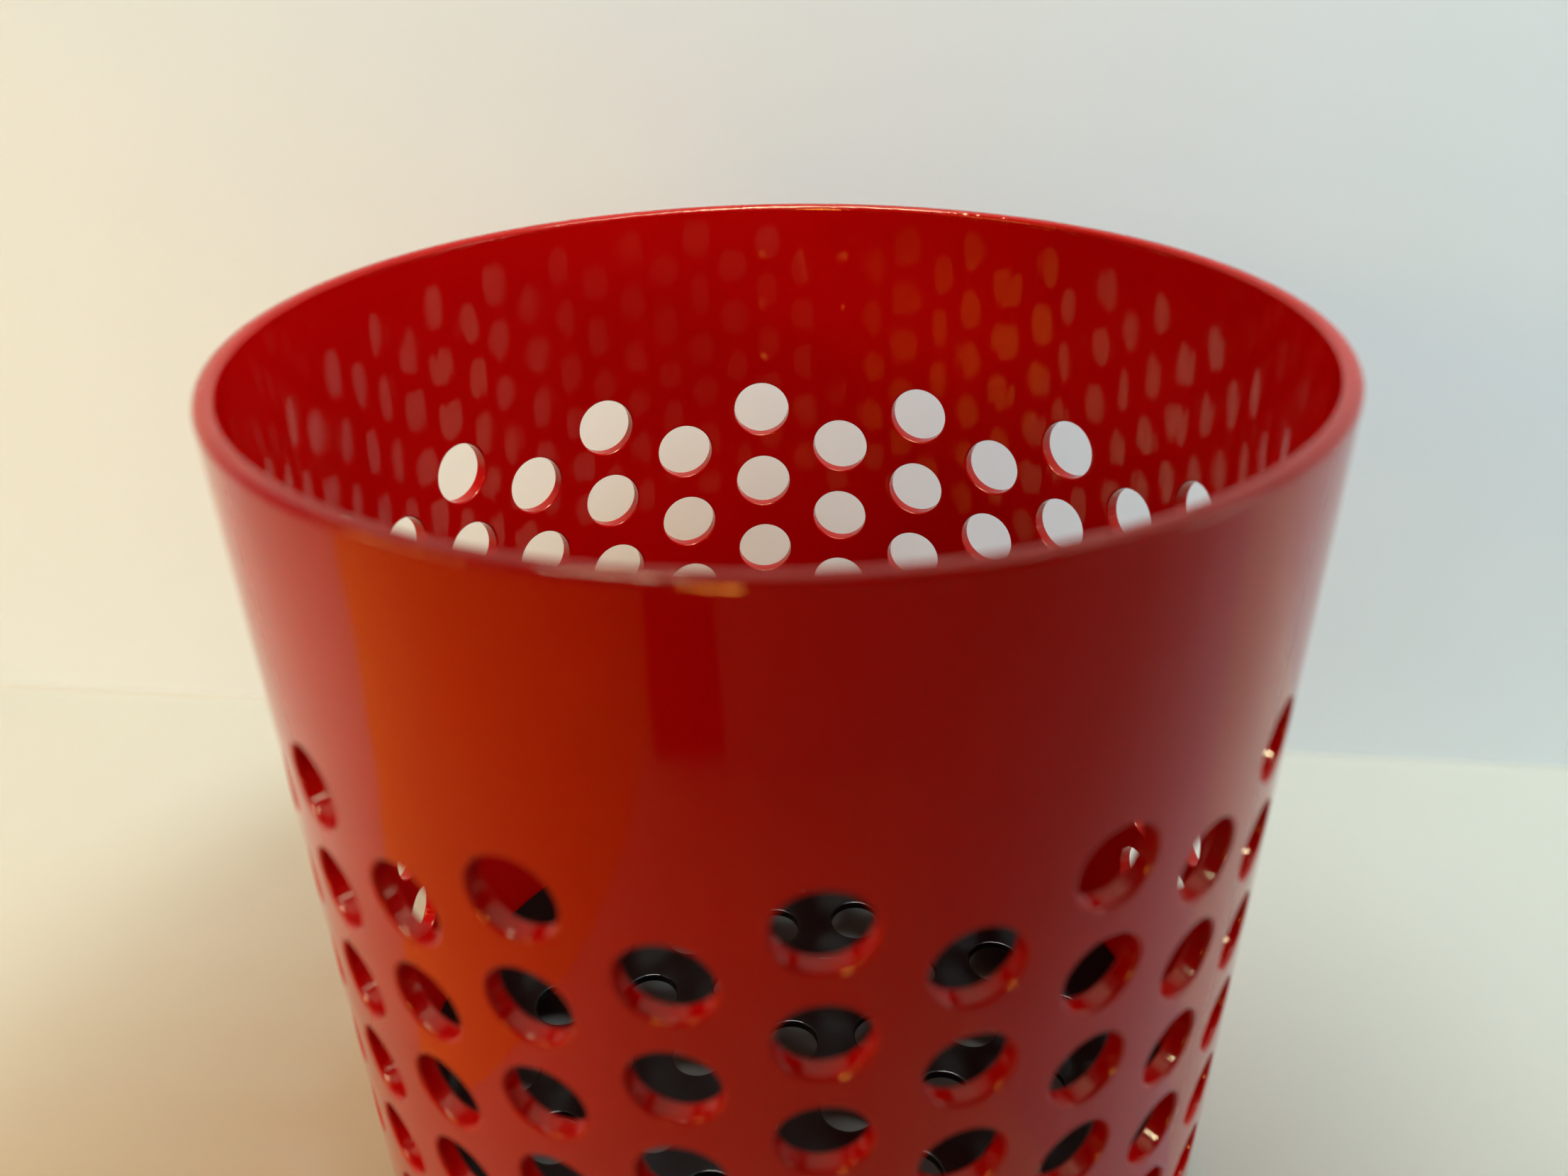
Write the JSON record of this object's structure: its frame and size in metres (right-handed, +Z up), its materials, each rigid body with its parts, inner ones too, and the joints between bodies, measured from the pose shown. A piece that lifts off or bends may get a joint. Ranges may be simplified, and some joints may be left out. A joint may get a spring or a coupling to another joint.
{
  "type": "perforated utensil holder",
  "caption": "Open-topped round utensil drainer: glossy red wall with staggered round holes, rounded rim, black foot ring and a lift-out black perforated floor.",
  "frame": {"origin": "on the table, at the middle of the foot, on the cup's axis", "axes": "+Z up along the cup's axis; -Y is the front, where a column of six holes is centred; +X to the right of the front"},
  "size_m": [0.12, 0.12, 0.127],
  "materials": {
    "red_shell": "glossy red, slightly wavy",
    "black_plastic": "glossy black moulding",
    "black_rubber": "matt"
  },
  "bodies": {
    "cup": {"body_shell": "red_shell", "foot_ring": "black_plastic", "foot_pad_1": "black_rubber", "foot_pad_2": "black_rubber", "foot_pad_3": "black_rubber", "foot_pad_4": "black_rubber"},
    "floor": {"floor_plate": "black_plastic"}
  },
  "joints": [
    {"name": "floor_lift", "type": "slide", "parent": "cup", "child": "floor", "axis": [0, 0, 1], "range_m": [0, 0.13]}
  ]
}
